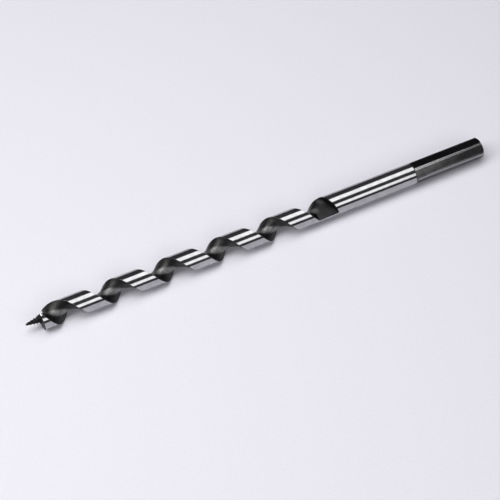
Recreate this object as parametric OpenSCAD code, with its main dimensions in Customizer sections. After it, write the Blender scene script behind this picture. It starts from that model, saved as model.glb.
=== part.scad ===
// Combination auger bit: a half-round twisted bar with one wide right-hand flute, a threaded lead screw
// held in its nose by a set screw, and a dark six-sided drive shank seated in its rear end.
// The bit lies along X with the screw point at -X, and rests on the plane Z = 0.

/* [Overall] */
// Length from the screw point to the end of the drive shank
overall_length = 235; // [215:1:300]
// Cutting diameter, across the lands of the twist
bit_d = 11; // [10:0.5:16]

/* [Twist] */
// Advance of the flute in one full turn
flute_pitch = 26.6; // [20:0.1:36]
// Distance from the screw point to the end of the twist
twist_end = 145.5; // [110:0.5:155]
// Straight run of the flute behind the twist, along its middle
flute_run_out = 7.5; // [5:0.5:12]
// Slant of the shoulder that ends the flute
shoulder_slant = 26; // [0:1:30]
// Height of the flute floor above the axis of the bit
web_height = 1.1; // [0.6:0.1:1.8]
// Angle from the middle of the flute to its cutting rim
lip_angle = 84; // [75:1:92]
// Angle from the middle of the flute to its heel rim
heel_angle = 117; // [95:1:125]
// Angle to the cutting rim at the shoulder, to which the flute narrows as it runs out
shoulder_lip_angle = 81; // [70:1:90]
// Angle to the heel rim at the shoulder
shoulder_heel_angle = 62; // [50:1:110]
// Where the middle of the flute faces at the lip, from straight up towards the front
flute_clock = -68; // [-180:1:180]

/* [Nose] */
// Distance from the screw point to the cutting lip, where the lead screw seats
lip_distance = 6.9; // [6:0.1:12]
// Slope of the end face behind the lip
lip_relief = 6; // [4:1:20]
// How far the heel half of the end is cut back behind the lip
heel_setback = 2.5; // [1.5:0.1:3.5]
// Angle from the middle of the flute to its cutting rim at the lip
nose_lip_angle = 70; // [60:1:84]
// Angle from the middle of the flute to its heel rim at the lip
nose_heel_angle = 60; // [50:1:100]
// Height of the flute floor above the axis at the lip
nose_web = 2.4; // [1.8:0.1:2.8]
// Length behind the lip over which the cutting rim and the floor come to their full shape
lip_flare = 7; // [5:0.5:12]
// Length behind the lip over which the heel rim comes to its full shape
heel_flare = 13; // [8:0.5:20]
// Diameter of the boss on which the lead screw seats
boss_d = 4.4; // [4:0.1:5]
// Length over which the boss tapers into the flute floor
boss_taper = 1.5; // [1:0.5:4]

/* [Lead screw] */
// Diameter of the neck that seats on the boss
neck_d = 4.2; // [3.2:0.1:5]
// Length of the neck
neck_length = 0.7; // [0.4:0.1:1.5]
// Diameter of the blunt tip
screw_tip_d = 1.2; // [0.6:0.1:1.6]
// Distance between the turns of the thread
thread_pitch = 1.5; // [1:0.1:2.5]
// Height of the thread as a share of the local radius of the screw
thread_share = 0.3; // [0.2:0.02:0.5]
// Diameter of the stem in the nose
stem_d = 2.4; // [1.8:0.1:2.6]
// Length of the stem
stem_length = 4; // [3.8:0.1:5]

/* [Set screw] */
// Diameter of the set screw
set_screw_d = 2; // [1.6:0.1:2.2]
// Distance from the seat of the lead screw to the set screw
set_screw_place = 2.9; // [2.7:0.1:3.2]
// Depth of the set screw below the land
set_screw_sink = 0.4; // [0.2:0.1:1]
// Width across the flats of its hexagonal recess
set_screw_key = 0.9; // [0.7:0.1:1.2]
// Depth of that recess
set_screw_key_depth = 1.2; // [0.6:0.1:1.6]

/* [Shank] */
// Diameter of the plain round length, ground a little under the cutting diameter
plain_d = 10.9; // [9.6:0.1:15.8]
// Length of the hexagonal drive end
hex_length = 37; // [25:1:45]
// Width of the drive end across its flats
hex_flats = 9.5; // [8:0.1:12]
// Where one corner of the hexagon faces, from straight up towards the front
hex_clock = 16; // [0:1:60]
// Chamfer that the crowned free end takes off the corners of the hexagon
hex_chamfer = 1; // [0.4:0.1:2]
// Chamfer of the bar where the hexagon begins
bar_chamfer = 0.4; // [0.2:0.1:1]
// Diameter of the spigot inside the bar
spigot_d = 6; // [4:0.1:7]
// Length of the spigot
spigot_length = 16; // [10:0.5:24]

/* [Fits] */
// Radial gap of the stem, the spigot and the set screw in their holes
fit_gap = 0.04; // [0.02:0.01:0.1]
// Gap left at the blind end of a hole
end_gap = 0.2; // [0.1:0.05:0.5]

/* [Hidden] */
$fn = 96;

bit_r = bit_d / 2;
bar_end = overall_length - hex_length;
flute_end = twist_end + flute_run_out;

// The flute is swept as rings of its section, this many to a turn and to the run-out
rings_per_turn = 24;
run_out_rings = 6;
// The rings of the run-out go this much past the shoulder, which then cuts them off as one plane
run_out_over = 1.1;
floor_steps = 10;
rim_steps = 8;
// The floor is drawn this much past its rims, so that it cuts cleanly through the outside
floor_over = 1.04;
// Radius to which the cutter of the flute stands out of the bar
cutter_r = 1.25 * bit_r;
// Length by which this cutter starts ahead of the lip
cutter_lead = 2;
// Size of the blocks that end the flute at its shoulder and the bar at its nose
block = 2 * bit_d;
// Length by which the cutter of a hole stands out of its mouth
hole_over = 1;
plain_start = flute_end + cutter_r * tan(shoulder_slant);

steel = [0.79, 0.80, 0.82];
dark_steel = [0.17, 0.17, 0.18];
black_steel = [0.08, 0.08, 0.09];

// Lays a piece that was drawn along Z, from the screw point, down along X
module lay_down() {
    translate([-overall_length / 2, 0, bit_r])
        rotate([0, 90, 0])
            children();
}

// Turn about the axis that brings +X of a piece drawn along Z to a direction on the lying bit,
// given from straight up towards the front
function turn_to(direction) = 180 + direction;

function flute_direction(z) = flute_clock + 360 * (z - lip_distance) / flute_pitch;

// Towards the nose the flute is narrower and less deep: 1 at the lip, and 0 from the end of the flare on
function flare(z, length) = max(0, min(1, 1 - (z - lip_distance) / length));

function lip_at(z) = lip_angle + (nose_lip_angle - lip_angle) * flare(z, lip_flare);
function heel_at(z) = heel_angle + (nose_heel_angle - heel_angle) * flare(z, heel_flare);
function web_at(z) = web_height + (nose_web - web_height) * flare(z, lip_flare);

function rim_point(angle) = [cutter_r * cos(angle), cutter_r * sin(angle)];

// Section of the flute. Its floor is a cubic in its own width: level at the middle, and through both rims
function flute_section(lip, heel, web) =
    let (
        lip_w = bit_r * sin(lip),
        heel_w = bit_r * sin(heel),
        lip_fall = (bit_r * cos(lip) - web) / lip_w ^ 2,
        heel_fall = (bit_r * cos(heel) - web) / heel_w ^ 2,
        skew = (lip_fall - heel_fall) / (lip_w + heel_w),
        bow = lip_fall - skew * lip_w
    )
    concat(
        [for (k = [0:rim_steps]) rim_point(-heel + k * (lip + heel) / rim_steps)],
        [for (k = [0:floor_steps])
            let (w = floor_over * (lip_w - k * (lip_w + heel_w) / floor_steps))
                [web + bow * w ^ 2 + skew * w ^ 3, w]]
    );

function turned(point, angle) = [
    point[0] * cos(angle) - point[1] * sin(angle),
    point[0] * sin(angle) + point[1] * cos(angle)
];

function flute_ring(z) = [
    for (point = flute_section(lip_at(z), heel_at(z), web_at(z)))
        concat(turned(point, turn_to(flute_direction(z))), z)
];

// Behind the twist the rings turn no more, and lean step by step into the slanted plane of the shoulder
function run_out_ring(part) = [
    for (point = flute_section(
            lip_angle + part * (shoulder_lip_angle - lip_angle),
            heel_angle + part * (shoulder_heel_angle - heel_angle),
            web_height))
        concat(
            turned(point, turn_to(flute_direction(twist_end))),
            twist_end + part * (flute_run_out + point[1] * tan(shoulder_slant))
        )
];

// Solid through rings of points
module sweep(rings) {
    sides = len(rings[0]);
    last = len(rings) - 1;
    walls = [
        for (k = [0:last - 1], j = [0:sides - 1])
            let (a = k * sides + j, b = k * sides + (j + 1) % sides)
                each [[a, a + sides, b + sides], [a, b + sides, b]]
    ];
    front = [for (j = [0:sides - 1]) j];
    back = [for (j = [sides - 1:-1:0]) last * sides + j];
    polyhedron(points = [for (ring = rings) each ring], faces = concat(walls, [front], [back]));
}

module flute_cutter() {
    start = lip_distance - cutter_lead;
    steps = ceil(rings_per_turn * (twist_end - start) / flute_pitch);
    difference() {
        sweep(concat(
            [for (k = [0:steps]) flute_ring(start + k * (twist_end - start) / steps)],
            [for (k = [1:run_out_rings]) run_out_ring(run_out_over * k / run_out_rings)]
        ));
        translate([0, 0, flute_end])
            rotate(turn_to(flute_direction(twist_end)))
                rotate([shoulder_slant, 0, 0])
                    translate([-block / 2, -block / 2, 0])
                        cube(block);
    }
}

// Everything ahead of the end: the lip half falls away a little behind the lip, the heel half is cut back
module nose_cutter() {
    translate([0, 0, lip_distance])
        rotate(turn_to(flute_clock + nose_lip_angle)) {
            rotate([lip_relief, 0, 0])
                translate([-block / 2, -block / 2, -block])
                    cube(block);
            translate([-block / 2, -block, -block])
                cube([block, block, block + heel_setback]);
        }
}

module boss() {
    translate([0, 0, lip_distance])
        cylinder(d = boss_d, h = heel_setback);
    translate([0, 0, lip_distance + heel_setback])
        cylinder(d1 = boss_d, d2 = stem_d, h = boss_taper);
}

// Radial hole or screw on the solid side of the bar, straight across from the flute
module across_from_flute() {
    z = lip_distance + set_screw_place;
    translate([0, 0, z])
        rotate(turn_to(flute_direction(z) + 180))
            rotate([0, 90, 0])
                children();
}

module twist_body() {
    color(steel)
        lay_down()
            difference() {
                rotate_extrude()
                    polygon([
                        [0, lip_distance - cutter_lead / 2],
                        [bit_r, lip_distance - cutter_lead / 2],
                        [bit_r, plain_start],
                        [plain_d / 2, plain_start],
                        [plain_d / 2, bar_end - bar_chamfer],
                        [plain_d / 2 - bar_chamfer, bar_end],
                        [0, bar_end]
                    ]);
                difference() {
                    union() {
                        flute_cutter();
                        nose_cutter();
                    }
                    boss();
                }
                translate([0, 0, lip_distance - cutter_lead])
                    cylinder(r = stem_d / 2 + fit_gap, h = cutter_lead + stem_length + end_gap);
                across_from_flute()
                    cylinder(r = set_screw_d / 2 + fit_gap, h = bit_d);
                translate([0, 0, bar_end - spigot_length - end_gap])
                    cylinder(r = spigot_d / 2 + fit_gap, h = spigot_length + end_gap + hole_over);
            }
}

// Section of the thread: a round root with one crest, so that a twist winds it into a screw
thread_steps = 16;
crest_sharpness = 4;
function thread_r(angle) = 1 - thread_share + thread_share * ((1 + cos(angle)) / 2) ^ crest_sharpness;
thread_section = [
    for (k = [0:thread_steps - 1])
        let (angle = 360 * k / thread_steps)
            screw_tip_d / 2 * thread_r(angle) * [cos(angle), sin(angle)]
];

module lead_screw() {
    thread_length = lip_distance - neck_length / 2;
    color(black_steel)
        lay_down()
            union() {
                linear_extrude(height = thread_length, twist = -360 * thread_length / thread_pitch,
                        scale = neck_d / screw_tip_d, $fn = thread_steps,
                        slices = ceil(thread_steps * thread_length / thread_pitch))
                    polygon(thread_section);
                translate([0, 0, lip_distance - neck_length])
                    cylinder(d = neck_d, h = neck_length);
                translate([0, 0, lip_distance - neck_length / 2])
                    cylinder(d = stem_d, h = stem_length + neck_length / 2);
            }
}

module lead_screw_set_screw() {
    inner = stem_d / 2 + fit_gap;
    outer = bit_r - set_screw_sink;
    color(black_steel)
        lay_down()
            across_from_flute()
                difference() {
                    translate([0, 0, inner])
                        cylinder(d = set_screw_d, h = outer - inner);
                    translate([0, 0, outer - set_screw_key_depth])
                        cylinder(d = set_screw_key / cos(30), h = set_screw_key_depth + hole_over, $fn = 6);
                }
}

module hex_shank() {
    corner_r = hex_flats / 2 / cos(30);
    // The free end is crowned by a ball that takes the chamfer off the corners at about 45 degrees
    crown_r = norm([corner_r, corner_r - hex_chamfer]);
    color(dark_steel)
        lay_down()
            union() {
                difference() {
                    translate([0, 0, bar_end])
                        rotate(turn_to(hex_clock))
                            cylinder(r = corner_r, h = hex_length, $fn = 6);
                    translate([0, 0, overall_length - corner_r])
                        difference() {
                            cylinder(r = 2 * corner_r, h = 2 * corner_r);
                            sphere(r = crown_r);
                        }
                }
                translate([0, 0, bar_end - spigot_length])
                    cylinder(d = spigot_d, h = spigot_length + hex_chamfer);
            }
}

twist_body();
lead_screw();
lead_screw_set_screw();
hex_shank();
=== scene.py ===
import math

import bmesh
import bpy
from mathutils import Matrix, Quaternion, Vector


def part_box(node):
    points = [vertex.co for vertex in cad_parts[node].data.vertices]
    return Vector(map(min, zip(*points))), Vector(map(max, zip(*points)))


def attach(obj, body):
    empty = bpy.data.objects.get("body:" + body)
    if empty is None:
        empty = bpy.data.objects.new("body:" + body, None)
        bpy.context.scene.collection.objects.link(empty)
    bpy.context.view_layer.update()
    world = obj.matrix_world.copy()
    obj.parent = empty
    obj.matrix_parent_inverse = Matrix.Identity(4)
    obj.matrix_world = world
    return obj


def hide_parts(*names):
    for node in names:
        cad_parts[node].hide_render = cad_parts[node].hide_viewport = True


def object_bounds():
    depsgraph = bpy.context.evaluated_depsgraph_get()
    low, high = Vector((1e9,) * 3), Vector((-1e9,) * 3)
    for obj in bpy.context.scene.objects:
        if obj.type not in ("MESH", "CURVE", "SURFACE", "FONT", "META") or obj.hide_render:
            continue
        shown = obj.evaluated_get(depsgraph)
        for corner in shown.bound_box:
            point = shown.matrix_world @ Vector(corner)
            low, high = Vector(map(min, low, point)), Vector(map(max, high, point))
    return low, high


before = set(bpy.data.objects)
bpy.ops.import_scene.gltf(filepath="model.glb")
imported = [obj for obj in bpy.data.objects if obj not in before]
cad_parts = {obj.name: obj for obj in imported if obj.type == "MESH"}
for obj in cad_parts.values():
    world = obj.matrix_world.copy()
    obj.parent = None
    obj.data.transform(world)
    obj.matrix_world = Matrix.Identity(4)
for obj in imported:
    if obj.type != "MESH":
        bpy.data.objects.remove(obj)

cad_lo, cad_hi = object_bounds()

# Twisted bar
# The body of the bit is one half-round bar of tool steel, twisted hot into a single right-hand flute. It is
# blackened in hardening and then ground bright on its outside only, so the flute stays black between bright
# lands, and the plain length behind it shines all round.
MM = 0.001
bar_lo, bar_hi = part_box("twist_body")
tip_x = cad_lo.x
bit_r = (bar_hi.z - bar_lo.z) / 2
axis_z = bar_lo.z + bit_r
bar_end = bar_hi.x - tip_x
lip_distance = bar_lo.x - tip_x

flute_pitch = 26.6 * MM
twist_end = 145.5 * MM
flute_run_out = 7.5 * MM
shoulder_slope = math.tan(math.radians(26))
flute_clock = math.radians(-68)


def node(tree, kind, inputs=None, **settings):
    """Adds a node, sets its options and then its inputs, each to a value or to another node's output."""
    made = tree.nodes.new(kind)
    for key, value in settings.items():
        setattr(made, key, value)
    for key, value in (inputs or {}).items():
        if isinstance(value, bpy.types.NodeSocket):
            tree.links.new(value, made.inputs[key])
        else:
            made.inputs[key].default_value = value
    return made


def math_node(tree, operation, *values):
    return node(tree, "ShaderNodeMath", dict(enumerate(values)), operation=operation).outputs["Value"]


def ramp(tree, value, low, high):
    """A mask that goes from 0 at low to 1 at high, gently at both ends."""
    ports = {"Value": value, "From Min": low, "From Max": high}
    return node(tree, "ShaderNodeMapRange", ports, interpolation_type="SMOOTHSTEP").outputs["Result"]


def mix_colour(tree, mask, first, second):
    """Goes from one colour to another with a mask. The Mix node's colour sockets are known by number."""
    mask_in, first_in, second_in, colour_out = 0, 6, 7, 2
    ports = {mask_in: mask, first_in: first, second_in: second}
    return node(tree, "ShaderNodeMix", ports, data_type="RGBA").outputs[colour_out]


def noise(tree, place, scale, detail, roughness=0.6):
    ports = {"Vector": place, "Scale": scale, "Detail": detail, "Roughness": roughness}
    return node(tree, "ShaderNodeTexNoise", ports).outputs["Fac"]


def object_place(tree):
    return node(tree, "ShaderNodeTexCoord").outputs["Object"]


def along_bit(tree):
    """Distance along the bit, in millimetres from its middle."""
    parts = node(tree, "ShaderNodeSeparateXYZ", {"Vector": object_place(tree)}).outputs
    return math_node(tree, "MULTIPLY", parts["X"], 1 / MM)


def from_axis(tree):
    """How far a place lies behind the axis of the bit and above it."""
    parts = node(tree, "ShaderNodeSeparateXYZ", {"Vector": object_place(tree)}).outputs
    return parts["Y"], math_node(tree, "SUBTRACT", parts["Z"], axis_z)


def turn_about_axis(tree):
    back, up = from_axis(tree)
    return math_node(tree, "ARCTAN2", back, up)


def reach_from_axis(tree):
    """Distance from the axis of the bit, in millimetres."""
    back, up = from_axis(tree)
    back_square = math_node(tree, "MULTIPLY", back, back)
    up_square = math_node(tree, "MULTIPLY", up, up)
    reach = math_node(tree, "SQRT", math_node(tree, "ADD", back_square, up_square))
    return math_node(tree, "MULTIPLY", reach, 1 / MM)


def wrapped(tree, along_scale, round_scale):
    """Places for a pattern that closes on itself round the bar, with one scale along it and one round it."""
    turn = turn_about_axis(tree)
    return node(tree, "ShaderNodeCombineXYZ", {
        "X": math_node(tree, "MULTIPLY", along_bit(tree), along_scale),
        "Y": math_node(tree, "MULTIPLY", math_node(tree, "SINE", turn), round_scale),
        "Z": math_node(tree, "MULTIPLY", math_node(tree, "COSINE", turn), round_scale),
    }).outputs["Vector"]


def new_group(name, inputs, outputs):
    """A shader node group with named float inputs, given with their values, and named outputs."""
    group = bpy.data.node_groups.new(name, "ShaderNodeTree")
    for socket_name, value in inputs:
        made = group.interface.new_socket(socket_name, in_out="INPUT", socket_type="NodeSocketFloat")
        made.default_value = value
    for socket_name in outputs:
        group.interface.new_socket(socket_name, in_out="OUTPUT", socket_type="NodeSocketFloat")
    return group, group.nodes.new("NodeGroupInput").outputs, group.nodes.new("NodeGroupOutput").inputs


def place_group(tree, group):
    return node(tree, "ShaderNodeGroup", node_tree=group).outputs


# Fine scratches of the grinding wheel run round the bar: noise that is quick along the bit and slow round it
patches_a_mm = 0.22
grinding, ports_in, ports_out = new_group(
    "grinding_marks", [("Marks per mm", 7.0), ("Length", 0.6)], ["Marks", "Patches"])
scratched = wrapped(grinding, ports_in["Marks per mm"], ports_in["Length"])
grinding.links.new(noise(grinding, scratched, scale=1.0, detail=5.0, roughness=0.7), ports_out["Marks"])
patched = wrapped(grinding, patches_a_mm, round_scale=1.0)
grinding.links.new(noise(grinding, patched, scale=1.4, detail=4.0), ports_out["Patches"])


def new_material(name, metallic=1.0):
    """A material with its node tree and its shader."""
    material = bpy.data.materials.new(name)
    material.use_nodes = True
    tree = material.node_tree
    shader = tree.nodes["Principled BSDF"]
    shader.inputs["Metallic"].default_value = metallic
    return material, tree, shader


def set_roughness(tree, shader, least, shares):
    """Makes a surface rougher than a least value, by a share of each mask."""
    rough = least
    for mask, share in shares:
        rough = math_node(tree, "ADD", rough, math_node(tree, "MULTIPLY", mask, share))
    tree.links.new(rough, shader.inputs["Roughness"])


def set_bump(tree, shader, height, strength, depth):
    bump = node(tree, "ShaderNodeBump", {"Height": height, "Strength": strength, "Distance": depth})
    tree.links.new(bump.outputs["Normal"], shader.inputs["Normal"])


scratch_depth = 0.02 * MM
dull_steel = (0.38, 0.38, 0.39, 1)
clear_steel = (0.46, 0.46, 0.467, 1)
ground_steel, tree, shader = new_material("ground_steel")
marks = place_group(tree, grinding)
tint = mix_colour(tree, ramp(tree, marks["Patches"], low=0.3, high=0.7), dull_steel, clear_steel)
tree.links.new(tint, shader.inputs["Base Color"])
set_roughness(tree, shader, least=0.05, shares=[(marks["Patches"], 0.06), (marks["Marks"], 0.08)])
set_bump(tree, shader, marks["Marks"], strength=0.12, depth=scratch_depth)

thick_black = (0.031, 0.031, 0.032, 1)
thin_black = (0.063, 0.062, 0.06, 1)
# Colours for a painted highlight along the flute's middle, and for the painted shade of its run-out
highlight_grey = (0.29, 0.29, 0.285, 1)
runout_shade_black = (0.03, 0.03, 0.031, 1)
black_oxide, tree, shader = new_material("black_oxide")
place = object_place(tree)
cloud = noise(tree, place, scale=260.0, detail=5.0)
speck = noise(tree, place, scale=2600.0, detail=3.0)
black = mix_colour(tree, ramp(tree, cloud, low=0.35, high=0.7), thick_black, thin_black)

# A painted highlight: the middle of the flute floor, where it lies nearest to the axis, is painted a lighter
# grey in specks, as a streak of reflected light. Where the flute runs out, painted shade takes its place:
# that recess is painted plain and darker, with no streak
highlight_fades_from_mm = 2.3
highlight_full_at_mm = 1.2
near_axis = ramp(tree, reach_from_axis(tree), highlight_fades_from_mm, highlight_full_at_mm)
painted_highlight = math_node(tree, "MULTIPLY", near_axis, ramp(tree, speck, low=0.3, high=0.6))
black = mix_colour(tree, painted_highlight, black, highlight_grey)
# Painted shade: the run-out of the flute is painted plain and darker than the rest of the flute
runout_shade_from_mm = (tip_x + twist_end) / MM
runout_shade_blend_mm = 3
run_out = ramp(tree, along_bit(tree), runout_shade_from_mm - runout_shade_blend_mm, runout_shade_from_mm + runout_shade_blend_mm)
tree.links.new(mix_colour(tree, run_out, black, runout_shade_black), shader.inputs["Base Color"])
set_roughness(tree, shader, least=0.38, shares=[(cloud, 0.2)])
set_bump(tree, shader, speck, strength=0.15, depth=scratch_depth)

quarter_turn = math.pi / 2


def around(distance, angle, radius):
    """A point so far behind the screw point, at an angle from straight up towards the front."""
    return Vector((tip_x + distance, -radius * math.sin(angle), axis_z + radius * math.cos(angle)))


def away(angle):
    """The direction from the axis outwards at that angle."""
    return Vector((0, -math.sin(angle), math.cos(angle)))


def flute_turn(distance):
    """Where the middle of the flute faces at that distance."""
    return flute_clock + math.tau * (distance - lip_distance) / flute_pitch


class FluteShape:
    """Section of the flute: angles in degrees from its middle to its two rims, and a floor that is a cubic
    across its width and lies so many millimetres from the axis at its middle."""

    def __init__(self, lip, heel, web):
        self.lip = math.radians(lip)
        self.heel = math.radians(heel)
        self.web = web * MM
        self.lip_width = bit_r * math.sin(self.lip)
        self.heel_width = bit_r * math.sin(self.heel)
        lip_fall = (bit_r * math.cos(self.lip) - self.web) / self.lip_width ** 2
        heel_fall = (bit_r * math.cos(self.heel) - self.web) / self.heel_width ** 2
        self.skew = (lip_fall - heel_fall) / (self.lip_width + self.heel_width)
        self.bow = lip_fall - self.skew * self.lip_width

    def land(self, part):
        """A point of the round outside, from lip rim to heel rim: along the flute's middle and across it."""
        angle = self.lip + (math.tau - self.lip - self.heel) * part
        return bit_r * math.cos(angle), bit_r * math.sin(angle)

    def floor(self, part):
        """A point of the floor, from heel rim to lip rim: along the flute's middle and across it."""
        aside = -self.heel_width + (self.lip_width + self.heel_width) * part
        return self.web + self.bow * aside ** 2 + self.skew * aside ** 3, aside

    def floor_part(self, aside):
        """How far over the floor a place across the flute lies: 0 at the heel rim, 1 at the lip rim."""
        return (aside + self.heel_width) / (self.lip_width + self.heel_width)


lip_degrees = 84
heel_degrees = 117
web_mm = 1.1
full_flute = FluteShape(lip_degrees, heel_degrees, web_mm)

lip_flare = 7 * MM
heel_flare = 13 * MM
nose_lip_closing = 14
nose_heel_closing = 57
nose_web_swell_mm = 1.3


def flute_shape(distance):
    """Towards the lip the flute is narrower and less deep."""
    by_lip = max(0, min(1, 1 - (distance - lip_distance) / lip_flare))
    by_heel = max(0, min(1, 1 - (distance - lip_distance) / heel_flare))
    return FluteShape(
        lip_degrees - nose_lip_closing * by_lip, heel_degrees - nose_heel_closing * by_heel,
        web_mm + nose_web_swell_mm * by_lip)


def put(vert, distance, turn, place):
    """Moves a vertex to a distance and to a place given along the flute's middle and across it."""
    vert.co = around(distance, 0, 0) + place[0] * away(turn) + place[1] * away(turn + quarter_turn)


def verts_of(geom):
    return [item for item in geom if isinstance(item, bmesh.types.BMVert)]


def edges_of(geom):
    return [item for item in geom if isinstance(item, bmesh.types.BMEdge)]


def wind(bm, geom, length, pitch, steps_a_turn):
    """Sweeps a section along the bit while it winds about the axis, and gives its last ring of edges."""
    turns = length / pitch
    steps = round(turns * steps_a_turn)
    swept = bmesh.ops.spin(
        bm, geom=geom, cent=(0, 0, axis_z), axis=(1, 0, 0), angle=math.tau * turns,
        dvec=(length / steps, 0, 0), steps=steps, use_merge=False)
    return edges_of(swept["geom_last"])


# The sweep starts in front of the lip, where a plane cuts it later
land_steps = 52
floor_steps = 44
sweep_lead = 3 * MM
sweep_start = lip_distance - sweep_lead
bm = bmesh.new()
section = []
for k in range(land_steps + floor_steps):
    if k <= land_steps:
        place = full_flute.land(k / land_steps)
    else:
        place = full_flute.floor((k - land_steps) / floor_steps)
    vert = bm.verts.new()
    put(vert, sweep_start, flute_turn(sweep_start), place)
    section.append(vert)
loop = [bm.edges.new((vert, section[k - 1])) for k, vert in enumerate(section)]
last_ring = wind(bm, section + loop, twist_end - sweep_start, flute_pitch, steps_a_turn=72)

touch = 0.001 * MM


def reach(point):
    """Distance of a point from the axis of the bit."""
    return math.hypot(point.y, point.z - axis_z)


def off_axis(point):
    """The way from the axis of the bit to a point, square to the axis."""
    return Vector((0, point.y, point.z - axis_z))


def reshape(vert, distance, turn, shape):
    """Moves a vertex of the full section to its place in another section."""
    out = off_axis(vert.co)
    ahead = out.dot(away(turn))
    aside = out.dot(away(turn + quarter_turn))
    if math.hypot(ahead, aside) > bit_r - touch:
        angle = math.atan2(aside, ahead) % math.tau
        part = (angle - full_flute.lip) / (math.tau - full_flute.lip - full_flute.heel)
        put(vert, distance, turn, shape.land(part))
    else:
        put(vert, distance, turn, shape.floor(full_flute.floor_part(aside)))


for vert in bm.verts:
    distance = vert.co.x - tip_x
    if distance < lip_distance + heel_flare:
        reshape(vert, distance, flute_turn(distance), flute_shape(distance))

# Behind the twist the flute runs straight on, narrows, and ends at a slanted shoulder
run_out_steps = 18
run_out_lip_closing = 3
run_out_heel_closing = 55
weld = 0.002 * MM
end_turn = flute_turn(twist_end)
across = away(end_turn + quarter_turn)


def run_out_shape(part):
    """The flute from 0 at the end of the twist to 1 at the shoulder."""
    return FluteShape(
        lip_degrees - run_out_lip_closing * part, heel_degrees - run_out_heel_closing * part, web_mm)


def offset(vert, way):
    """How far a vertex lies from the axis in a direction square to it."""
    return (vert.co - around(0, 0, 0)).dot(way)


rings = []
while len(rings) < run_out_steps:
    made = bmesh.ops.extrude_edge_only(bm, edges=last_ring)["geom"]
    rings.append(verts_of(made))
    last_ring = edges_of(made)
for k, ring in enumerate(rings, 1):
    part = k / run_out_steps
    shape = run_out_shape(part)
    for vert in ring:
        reshape(vert, twist_end, end_turn, shape)
        vert.co.x += part * (flute_run_out + offset(vert, across) * shoulder_slope)

floor_edges = [edge for edge in last_ring if min(reach(vert.co) for vert in edge.verts) < bit_r - touch]
wall = verts_of(bmesh.ops.extrude_edge_only(bm, edges=floor_edges)["geom"])
end_shape = run_out_shape(1)
for vert in wall:
    part = end_shape.floor_part(offset(vert, across))
    angle = -end_shape.heel + part * (end_shape.lip + end_shape.heel)
    shoulder = twist_end + flute_run_out + bit_r * math.sin(angle) * shoulder_slope
    vert.co = around(shoulder, end_turn + angle, bit_r)
bmesh.ops.remove_doubles(bm, verts=rings[-1] + wall, dist=weld)
ring = [edge for edge in bm.edges if edge.is_boundary and edge.verts[0].co.x > tip_x + twist_end]


def move_out(vert, distance, radius):
    """Moves a vertex to a distance and radius, at the turn where it is."""
    vert.co = around(distance, 0, 0) + off_axis(vert.co).normalized() * radius


def carry_on(bm, ring, distance, radius):
    """Extrudes a ring of edges to a new distance and radius, and gives the new ring."""
    made = bmesh.ops.extrude_edge_only(bm, edges=ring)["geom"]
    for vert in verts_of(made):
        move_out(vert, distance, radius)
    return edges_of(made)


# The plain length begins clear of the cutter that made the shoulder, and is a little thinner than the twist.
# A short ring beside each change of radius keeps the shading of the long faces even
cutter_r = 1.25 * bit_r
plain_r = 5.45 * MM
plain_start = twist_end + flute_run_out + cutter_r * shoulder_slope
blend_length = 1.6 * MM
bar_chamfer = 0.4 * MM
support = 0.2 * MM
spigot_r = 3 * MM
spigot_length = 16 * MM
fit_gap = 0.04 * MM
end_gap = 0.2 * MM
for distance, radius in (
    (plain_start - support, bit_r),
    (plain_start, bit_r),
    (plain_start + blend_length, plain_r),
    (plain_start + blend_length + support, plain_r),
    (bar_end - bar_chamfer - support, plain_r),
    (bar_end - bar_chamfer, plain_r),
    (bar_end, plain_r - bar_chamfer),
    (bar_end, spigot_r + fit_gap),
    (bar_end - spigot_length - end_gap, spigot_r + fit_gap),
):
    ring = carry_on(bm, ring, distance, radius)
bmesh.ops.edgeloop_fill(bm, edges=ring)

# The end face falls away a little behind the lip. The lip lies just below the seat of the lead screw, so that
# the boss that is joined on later shares no plane with it
lip_turn = flute_clock + flute_shape(lip_distance).lip
lip_relief = math.radians(6)
lip_below_seat = 0.03 * MM
on_plane = 0.0001 * MM
relief = Vector((math.cos(lip_relief), 0, 0)) - math.sin(lip_relief) * away(lip_turn + quarter_turn)
faced = bmesh.ops.bisect_plane(
    bm, geom=bm.verts[:] + bm.edges[:] + bm.faces[:], dist=on_plane,
    plane_co=around(lip_distance + lip_below_seat, 0, 0), plane_no=relief, clear_inner=True)
bmesh.ops.edgeloop_fill(bm, edges=edges_of(faced["geom_cut"]))
bmesh.ops.recalc_face_normals(bm, faces=bm.faces[:])

# The rims of the flute are broken slightly, except close to the lip, which has to cut
rim_round = 0.12 * MM
rim_sharpness = math.radians(40)
keen_length = 2 * MM
rims = [
    edge for edge in bm.edges
    if len(edge.link_faces) == 2 and edge.calc_face_angle() > rim_sharpness
    and all(abs(reach(vert.co) - bit_r) < weld for vert in edge.verts)
    and tip_x + lip_distance + keen_length < edge.verts[0].co.x < tip_x + twist_end
]
bmesh.ops.bevel(bm, geom=rims, offset=rim_round, affect="EDGES", segments=2, profile=0.5, material=-1)
for vert in bm.verts:
    if reach(vert.co) > bit_r:
        move_out(vert, vert.co.x - tip_x, bit_r)

# The heel half of the end is cut back behind the lip, by a step that runs across through the axis
heel_setback = 2.5 * MM
setback_x = tip_x + lip_distance + heel_setback
step_side = away(lip_turn + quarter_turn)
flat = 0.0005 * MM


def cut_faces(bm, faces, plane_co, plane_no):
    """Cuts faces along a plane and keeps both sides."""
    geom = list(dict.fromkeys(item for face in faces for item in (face, *face.edges, *face.verts)))
    bmesh.ops.bisect_plane(bm, geom=geom, dist=on_plane, plane_co=plane_co, plane_no=plane_no)


def on_heel_face(vert):
    return abs(vert.co.x - setback_x) < flat


def on_step(vert):
    return abs(offset(vert, step_side)) < flat


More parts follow.
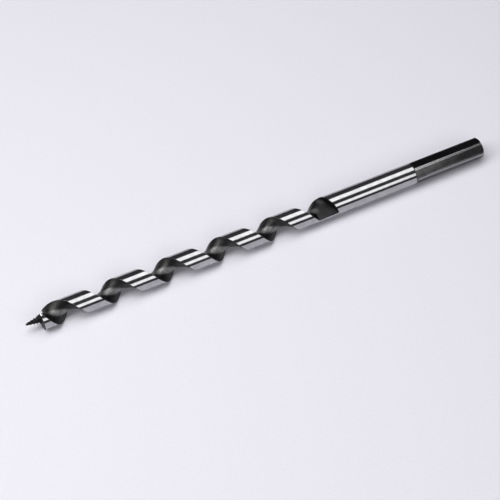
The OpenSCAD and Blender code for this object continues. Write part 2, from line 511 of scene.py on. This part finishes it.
nose_faces = [face for face in bm.faces if min(vert.co.x for vert in face.verts) < setback_x]
cut_faces(bm, nose_faces, Vector((setback_x, 0, axis_z)), Vector((1, 0, 0)))
front_faces = [face for face in bm.faces if max(vert.co.x for vert in face.verts) < setback_x + flat]
cut_faces(bm, front_faces, around(lip_distance, 0, 0), step_side)
heel_faces = [
    face for face in bm.faces
    if all(vert.co.x < setback_x + flat and offset(vert, step_side) < flat for vert in face.verts)
]
bmesh.ops.delete(bm, context="FACES", geom=heel_faces)
rim = [edge for edge in bm.edges if edge.is_boundary]
inner = dict.fromkeys(vert for edge in rim for vert in edge.verts if on_heel_face(vert) and on_step(vert))
corner = bm.edges.new(list(inner))
for in_plane in (on_heel_face, on_step):
    side = [edge for edge in rim if all(in_plane(vert) for vert in edge.verts)]
    bmesh.ops.edgeloop_fill(bm, edges=side + [corner])
bmesh.ops.recalc_face_normals(bm, faces=bm.faces[:])

# In front of the plain length, faces that the grinding wheel doesn't reach stay black
BRIGHT = 0
BLACK = 1
ground_depth = 0.02 * MM
for face in bm.faces:
    middle = face.calc_center_median()
    in_flute = reach(middle) < bit_r - ground_depth
    face.material_index = BLACK if in_flute and middle.x < tip_x + plain_start else BRIGHT


def new_piece(name, bm, *materials):
    """Turns a mesh under construction into a named piece."""
    mesh = bpy.data.meshes.new(name)
    bm.to_mesh(mesh)
    bm.free()
    for material in materials:
        mesh.materials.append(material)
    piece = bpy.data.objects.new(name, mesh)
    bpy.context.collection.objects.link(piece)
    return piece


def apply_boolean(piece, tool, operation):
    """Joins a tool shape to a piece, or cuts it out, for good."""
    change = piece.modifiers.new("shape", "BOOLEAN")
    change.operation = operation
    change.solver = "EXACT"
    change.object = tool
    evaluated = piece.evaluated_get(bpy.context.evaluated_depsgraph_get())
    piece.data = bpy.data.meshes.new_from_object(evaluated)
    piece.modifiers.clear()
    bpy.data.objects.remove(tool)


def lathe(name, profile, steps, *materials):
    """A closed solid of revolution about the axis of the bit, from pairs of distance and radius that start
    and end on the axis."""
    bm = bmesh.new()
    verts = [bm.verts.new(around(distance, 0, radius)) for distance, radius in profile]
    edges = [bm.edges.new(pair) for pair in zip(verts, verts[1:])]
    bmesh.ops.spin(
        bm, geom=verts + edges, cent=(0, 0, axis_z), axis=(1, 0, 0), angle=math.tau, steps=steps,
        use_merge=True)
    bmesh.ops.remove_doubles(bm, verts=bm.verts[:], dist=touch)
    bmesh.ops.recalc_face_normals(bm, faces=bm.faces[:])
    return new_piece(name, bm, *materials)


bar = new_piece("twisted_bar", bm, ground_steel, black_oxide)

# The boss on which the lead screw seats stands in the middle of the end, and grinding leaves it black. Its
# taper starts just below the heel face, so that the two share no plane
round_steps = 64
boss_r = 2.2 * MM
boss_foot_r = 1.2 * MM
boss_taper = 1.5 * MM
boss_round = 0.1 * MM
boss_sink = 0.05 * MM
boss = lathe("boss", [
    (lip_distance, 0),
    (lip_distance, boss_r - boss_round),
    (lip_distance + boss_round, boss_r),
    (lip_distance + heel_setback + boss_sink, boss_r),
    (lip_distance + heel_setback + boss_taper, boss_foot_r),
    (lip_distance + heel_setback + boss_taper, 0),
], round_steps, ground_steel, black_oxide)
for face in boss.data.polygons:
    face.material_index = BLACK
apply_boolean(bar, boss, "UNION")

# A cutting shape runs on past the surface that it cuts
overshoot = 1 * MM
hole_steps = 48
stem_r = 1.2 * MM
stem_length = 4 * MM
socket = lathe("stem_socket", [
    (lip_distance - overshoot, 0),
    (lip_distance - overshoot, stem_r + fit_gap),
    (lip_distance + stem_length + end_gap, stem_r + fit_gap),
    (lip_distance + stem_length + end_gap, 0),
], hole_steps)
apply_boolean(bar, socket, "DIFFERENCE")

set_screw_r = 1 * MM
set_screw_distance = lip_distance + 2.9 * MM
set_screw_turn = flute_turn(set_screw_distance) + math.pi


def radial_rod(name, inner, outer, radius, steps, *materials):
    """A straight rod that points away from the axis at the place of the set screw."""
    bm = bmesh.new()
    foot = bmesh.ops.create_circle(bm, cap_ends=True, segments=steps, radius=radius)["verts"]
    turn = Vector((0, 0, 1)).rotation_difference(away(set_screw_turn)).to_matrix().to_4x4()
    bmesh.ops.transform(bm, matrix=turn, verts=foot)
    bmesh.ops.translate(bm, vec=around(set_screw_distance, set_screw_turn, inner), verts=foot)
    top = bmesh.ops.extrude_face_region(bm, geom=bm.faces[:], use_keep_orig=True)["geom"]
    bmesh.ops.translate(bm, vec=away(set_screw_turn) * (outer - inner), verts=verts_of(top))
    bmesh.ops.recalc_face_normals(bm, faces=bm.faces[:])
    return new_piece(name, bm, *materials)


screw_hole = radial_rod("screw_hole", 0, bit_r + overshoot, set_screw_r + fit_gap, hole_steps)
apply_boolean(bar, screw_hole, "DIFFERENCE")


def finish_piece(piece, replaced, sharp):
    """Gives a piece smooth shading with corners sharp from so many degrees, and ties it to the frame."""
    piece.data.shade_smooth()
    piece.data.set_sharp_from_angle(angle=math.radians(sharp))
    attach(piece, "root")
    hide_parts(replaced)


finish_piece(bar, "twist_body", sharp=35)

# Lead screw
# The threaded point is a separate small piece of hard black steel, so that it can be changed when it wears.
# Its coarse wood thread is rolled on a cone, and its plain stem sits in the nose of the bar.
deep_black = (0.018, 0.018, 0.02, 1)
pale_black = (0.045, 0.044, 0.045, 1)
screw_black, tree, shader = new_material("screw_black")
place = object_place(tree)
cloud = noise(tree, place, scale=500.0, detail=4.0)
black = mix_colour(tree, ramp(tree, cloud, low=0.35, high=0.7), deep_black, pale_black)
tree.links.new(black, shader.inputs["Base Color"])
set_roughness(tree, shader, least=0.28, shares=[(cloud, 0.2)])
set_bump(tree, shader, noise(tree, place, scale=3000.0, detail=3.0), strength=0.12, depth=scratch_depth)

thread_pitch = 1.5 * MM
thread_share = 0.3
crest_sharpness = 4
screw_tip_r = 0.6 * MM
neck_r = 2.1 * MM
neck_length = 0.7 * MM
neck_round = 0.1 * MM
stem_chamfer = 2 * neck_round
thread_length = lip_distance - neck_length / 2
section_steps = 36
bm = bmesh.new()
section = []
for k in range(section_steps):
    angle = math.tau * k / section_steps
    crest = thread_share * ((1 + math.cos(angle)) / 2) ** crest_sharpness
    section.append(bm.verts.new(around(0, angle, neck_r * (1 - thread_share + crest))))
start_cap = bm.faces.new(section)
loop = start_cap.edges[:]
bmesh.ops.delete(bm, geom=[start_cap], context="FACES_ONLY")
last_ring = wind(bm, section + loop, thread_length, thread_pitch, steps_a_turn=36)
for vert in bm.verts:
    grown = (vert.co.x - tip_x) / thread_length
    share = (screw_tip_r + (neck_r - screw_tip_r) * grown) / neck_r
    vert.co.y *= share
    vert.co.z = axis_z + (vert.co.z - axis_z) * share
bmesh.ops.edgeloop_fill(bm, edges=loop)
bmesh.ops.edgeloop_fill(bm, edges=last_ring)
bmesh.ops.recalc_face_normals(bm, faces=bm.faces[:])
lead_screw = new_piece("lead_screw_point", bm, screw_black)
stem = lathe("stem", [
    (lip_distance - neck_length, 0),
    (lip_distance - neck_length, neck_r - neck_round),
    (lip_distance - neck_length + neck_round, neck_r),
    (lip_distance - neck_round, neck_r),
    (lip_distance, neck_r - neck_round),
    (lip_distance, stem_r),
    (lip_distance + stem_length - stem_chamfer, stem_r),
    (lip_distance + stem_length, stem_r - stem_chamfer),
    (lip_distance + stem_length, 0),
], round_steps)
apply_boolean(lead_screw, stem, "UNION")
finish_piece(lead_screw, "lead_screw", sharp=50)

# Set screw of the lead screw
# A short headless screw of black steel with a hexagonal recess, driven in from the solid side of the nose
# until it bears on the stem of the lead screw. It lies a little below the ground land.
hex_sides = 6
hex_half_side = math.radians(30)
set_screw_sunk = 0.4 * MM
set_screw_outer = bit_r - set_screw_sunk
key_apothem = 0.45 * MM
key_r = key_apothem / math.cos(hex_half_side)
key_depth = 1.2 * MM
set_screw = radial_rod(
    "set_screw", stem_r + fit_gap, set_screw_outer, set_screw_r, round_steps, screw_black)
key = radial_rod("key", set_screw_outer - key_depth, set_screw_outer + overshoot, key_r, hex_sides)
apply_boolean(set_screw, key, "DIFFERENCE")
finish_piece(set_screw, "lead_screw_set_screw", sharp=30)

# Drive shank
# A six-sided length of dark hardened steel for the jaws of a chuck, crowned at its free end, with a round
# spigot pressed into the rear of the bar. Its corners are rubbed bright by the jaws.
noise_middle = 0.5
wear, ports_in, ports_out = new_group(
    "corner_wear", [("From mm", 4.98), ("To mm", 5.26), ("Ragged", 0.22)], ["Wear"])
ragged = math_node(wear, "SUBTRACT", noise(wear, object_place(wear), scale=900.0, detail=4.0), noise_middle)
lifted = math_node(
    wear, "ADD", reach_from_axis(wear), math_node(wear, "MULTIPLY", ragged, ports_in["Ragged"]))
wear.links.new(ramp(wear, lifted, ports_in["From mm"], ports_in["To mm"]), ports_out["Wear"])

dark_scale = (0.05, 0.05, 0.052, 1)
pale_scale = (0.09, 0.088, 0.086, 1)
bare_steel = (0.40, 0.40, 0.41, 1)
streak_scale = (60.0, 1500.0, 1500.0)
hardened_steel, tree, shader = new_material("hardened_steel")
place = object_place(tree)
cloud = noise(tree, place, scale=180.0, detail=5.0)
drawn = node(tree, "ShaderNodeMapping", {"Vector": place, "Scale": streak_scale}).outputs["Vector"]
streaks = noise(tree, drawn, scale=1.0, detail=4.0)
dark = mix_colour(tree, ramp(tree, cloud, low=0.3, high=0.72), dark_scale, pale_scale)
worn = place_group(tree, wear)["Wear"]
tree.links.new(mix_colour(tree, worn, dark, bare_steel), shader.inputs["Base Color"])
set_roughness(tree, shader, least=0.09, shares=[(streaks, 0.12)])
set_bump(tree, shader, streaks, strength=0.2, depth=scratch_depth)

hex_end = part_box("hex_shank")[1].x - tip_x
hex_apothem = 4.75 * MM
hex_corner_r = hex_apothem / math.cos(hex_half_side)
hex_clock = math.radians(16)
hex_chamfer = 1 * MM
corner_round = 0.42 * MM
bm = bmesh.new()
corners = [
    bm.verts.new(around(bar_end, hex_clock + math.tau * k / hex_sides, hex_corner_r))
    for k in range(hex_sides)
]
foot = bm.faces.new(corners)
top = bmesh.ops.extrude_face_region(bm, geom=[foot], use_keep_orig=True)["geom"]
bmesh.ops.translate(bm, vec=(hex_end + overshoot - bar_end, 0, 0), verts=verts_of(top))
bmesh.ops.recalc_face_normals(bm, faces=bm.faces[:])
long_edges = [edge for edge in bm.edges if abs(edge.verts[0].co.x - edge.verts[1].co.x) > touch]
bmesh.ops.bevel(
    bm, geom=long_edges, offset=corner_round, affect="EDGES", segments=4, profile=0.5, material=-1)
hex_shank = new_piece("drive_shank", bm, hardened_steel)

# The crown at the free end is turned to a part of a ball
crown_round_steps = 96
crown_arc_steps = 10
crown_margin = 0.3 * MM
crown_r = math.hypot(hex_corner_r, hex_corner_r - hex_chamfer)
crown_centre = hex_end - hex_corner_r
crown_from = math.asin((hex_corner_r + crown_margin) / crown_r)
crown_to = math.asin((hex_corner_r - hex_chamfer) / crown_r)
crown_arc = []
for k in range(crown_arc_steps + 1):
    angle = crown_from + (crown_to - crown_from) * k / crown_arc_steps
    crown_arc.append((crown_centre + crown_r * math.cos(angle), crown_r * math.sin(angle)))
clear_r = 2 * hex_corner_r
crown = lathe("crown", [
    (bar_end - overshoot, 0),
    (bar_end - overshoot, clear_r),
    (crown_arc[0][0], clear_r),
    *crown_arc,
    (hex_end, 0),
], crown_round_steps)
apply_boolean(hex_shank, crown, "INTERSECT")

spigot_chamfer = 0.3 * MM
spigot = lathe("spigot", [
    (bar_end - spigot_length, 0),
    (bar_end - spigot_length, spigot_r - spigot_chamfer),
    (bar_end - spigot_length + spigot_chamfer, spigot_r),
    (bar_end + overshoot, spigot_r),
    (bar_end + overshoot, 0),
], round_steps)
apply_boolean(hex_shank, spigot, "UNION")
finish_piece(hex_shank, "hex_shank", sharp=25)

# Paper floor
# The bit lies on one flat sheet of pale matt paper with a fine tooth. The sheet is much larger than the view,
# so that nothing else shows round the bit.
paper_low = (0.825, 0.81, 0.872, 1)
paper_high = (0.855, 0.84, 0.902, 1)
tooth_depth = 0.05 * MM
floor_half = 1.6
paper, tree, shader = new_material("pale_paper", metallic=0.0)
fibre = noise(tree, object_place(tree), scale=900.0, detail=4.0)
tint = mix_colour(tree, ramp(tree, fibre, low=0.3, high=0.7), paper_low, paper_high)
tree.links.new(tint, shader.inputs["Base Color"])
shader.inputs["Roughness"].default_value = 0.9
shader.inputs["Specular IOR Level"].default_value = 0.1
set_bump(tree, shader, fibre, strength=0.1, depth=tooth_depth)

bm = bmesh.new()
bmesh.ops.create_grid(bm, x_segments=8, y_segments=8, size=floor_half)
floor = new_piece("paper_floor", bm, paper)


# Soft light
# Two long softboxes stand over and in front of the bit. The bright lands and the shank mirror them as two
# bright stripes with a dark gap between. A third box beyond the screw point lights the paper and is not
# mirrored in the round outside, because of where it stands.
def softbox(name, place, aim, length, width, radiance):
    """A box light that faces a point, its length level."""
    lamp = bpy.data.lights.new(name, "AREA")
    lamp.shape = "RECTANGLE"
    lamp.size = length
    lamp.size_y = width
    lamp.energy = radiance * math.pi * length * width
    made = bpy.data.objects.new(name, lamp)
    made.location = place
    made.rotation_mode = "QUATERNION"
    made.rotation_quaternion = (aim - place).to_track_quat("-Z", "Y")
    bpy.context.collection.objects.link(made)


overhead_aim = Vector((0.09, 0, axis_z))
overhead_distance = 0.8
overhead_angle = math.radians(-12)
overhead_place = overhead_aim + overhead_distance * away(overhead_angle)
softbox("overhead_box", overhead_place, overhead_aim, length=0.68, width=0.53, radiance=2.1)
front_aim = Vector((0.05, 0, axis_z))
front_distance = 0.9
front_angle = math.radians(52.5)
front_place = front_aim + front_distance * away(front_angle)
softbox("front_box", front_place, front_aim, length=0.78, width=0.40, radiance=1.95)
fill_place = Vector((-0.45, 0.03, 0.65))
fill_aim = Vector((0, 0, 0))
softbox("fill_box", fill_place, fill_aim, length=0.45, width=0.95, radiance=3.5)

world = bpy.data.worlds.new("dim_room")
world.use_nodes = True
room = world.node_tree.nodes["Background"].inputs
room["Color"].default_value = (0.9, 0.9, 1.0, 1)
room["Strength"].default_value = 0.07
bpy.context.scene.world = world
bpy.context.scene.view_settings.view_transform = "Standard"

# Camera
# A long lens looks down on the bit from in front and from the side of the screw point. Its place, aim, roll
# and length were fitted to the outline of the bit in the picture.
camera_place = Vector((-198.46, -409.16, 626.85)) * MM
camera_aim = Vector((-8.945, -6.668, 5.5)) * MM
camera_roll = math.radians(-0.516)
lens = bpy.data.cameras.new("camera")
lens.lens = 118.656
lens.sensor_width = 36
camera = bpy.data.objects.new("camera", lens)
camera.location = camera_place
camera.rotation_mode = "QUATERNION"
camera.rotation_quaternion = (
    (camera_aim - camera_place).to_track_quat("-Z", "Y") @ Quaternion((0, 0, 1), camera_roll))
bpy.context.collection.objects.link(camera)
bpy.context.scene.camera = camera
